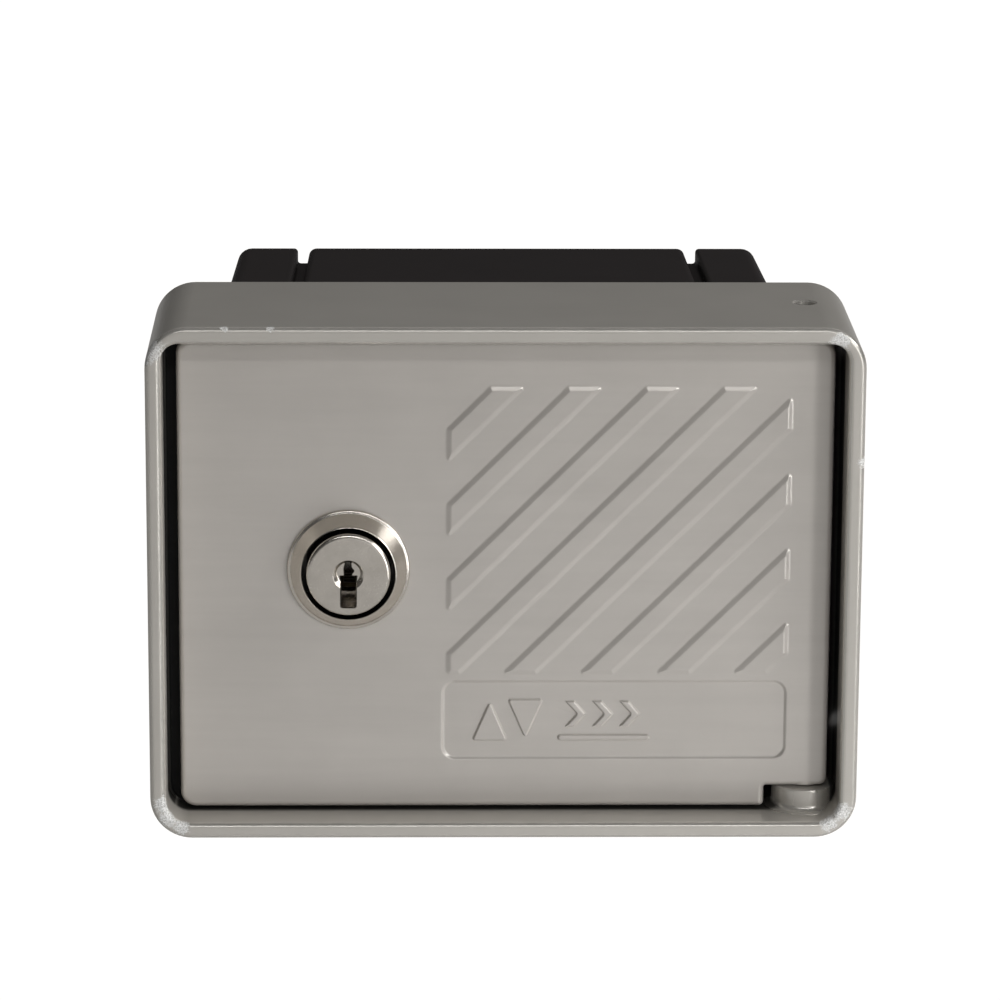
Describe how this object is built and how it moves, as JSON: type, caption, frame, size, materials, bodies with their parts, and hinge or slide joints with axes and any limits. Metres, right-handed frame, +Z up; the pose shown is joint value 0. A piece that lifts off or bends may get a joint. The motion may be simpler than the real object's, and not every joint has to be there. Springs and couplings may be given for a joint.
{
  "type": "key-locked wall control box",
  "caption": "Cast wall box for a powered shutter, with a key-locked recessed door over push buttons and a manual release lever, and a housing that goes into the wall.",
  "frame": {"origin": "centre of the surround's rear face, on the wall", "axes": "+X to the right seen from the front, +Y into the wall, +Z up"},
  "size_m": [0.135, 0.097, 0.1],
  "materials": {
    "cast_aluminium": "satin",
    "door_paint": "satin",
    "black_housing": "matte",
    "black_fascia": "matte",
    "black_rubber": "matte",
    "nickel_plate": "satin",
    "zinc_steel": "satin",
    "dark_steel": "satin",
    "brass": "satin",
    "white_plastic": "gloss",
    "grey_plastic": "matte",
    "ivory_plastic": "matte",
    "red_plastic": "satin"
  },
  "bodies": {
    "case": {"case_surround": "cast_aluminium", "door_seal": "black_rubber", "lower_hinge_pin": "zinc_steel", "top_set_screw": "dark_steel", "rear_housing": "black_housing", "housing_clips": "zinc_steel", "housing_screws": "zinc_steel", "fascia_plate": "black_fascia", "fascia_screws": "zinc_steel", "up_switch": "grey_plastic", "down_switch": "grey_plastic", "switch_terminals": "brass", "up_collar": "nickel_plate", "down_collar": "nickel_plate", "up_spring": "zinc_steel", "down_spring": "zinc_steel", "lever_bush": "ivory_plastic", "cable_adjuster": "zinc_steel", "adjuster_locknut": "zinc_steel", "wire_grommet": "black_rubber", "terminal_block": "ivory_plastic", "terminal_screws": "brass"},
    "door": {"door_leaf": "door_paint", "upper_hinge_pin": "zinc_steel", "lock_body": "nickel_plate", "lock_washer": "zinc_steel", "lock_nut": "zinc_steel"},
    "lock_plug": {"lock_plug": "nickel_plate", "lock_wafers": "brass", "lock_cam": "zinc_steel", "cam_screw": "zinc_steel"},
    "lever": {"release_lever": "red_plastic", "lever_spindle": "zinc_steel", "crank_arm": "zinc_steel", "crank_clip": "dark_steel"},
    "cable_clamp": {"cable_clamp": "brass", "clamp_screw": "dark_steel"},
    "up_button": {"up_button": "white_plastic"},
    "down_button": {"down_button": "white_plastic"}
  },
  "joints": [
    {"name": "door_hinge", "type": "hinge", "parent": "case", "child": "door", "pos_m": [0.0582, -0.0298, 0], "axis": [0, 0, 1], "range_deg": [0, 85]},
    {"name": "lock_turn", "type": "hinge", "parent": "door", "child": "lock_plug", "pos_m": [-0.0296, -0.034, 0.0013], "axis": [0, 1, 0], "range_deg": [0, 90]},
    {"name": "lever_turn", "type": "hinge", "parent": "case", "child": "lever", "pos_m": [0.018, -0.0095, -0.02], "axis": [0, 1, 0], "range_deg": [0, 90]},
    {"name": "clamp_swivel", "type": "hinge", "parent": "lever", "child": "cable_clamp", "pos_m": [0, 0.0085, -0.02], "axis": [0, 1, 0], "range_deg": [-90, 0]},
    {"name": "up_press", "type": "slide", "parent": "case", "child": "up_button", "axis": [0, 1, 0], "range_m": [0, 0.003], "stiffness_N_per_m": 600, "springref_m": -0.002, "deforming": ["up_spring"]},
    {"name": "down_press", "type": "slide", "parent": "case", "child": "down_button", "axis": [0, 1, 0], "range_m": [0, 0.003], "stiffness_N_per_m": 600, "springref_m": -0.002, "deforming": ["down_spring"]}
  ],
  "couplings": [
    {"joint": "clamp_swivel", "follows": "lever_turn", "ratio": -1}
  ]
}
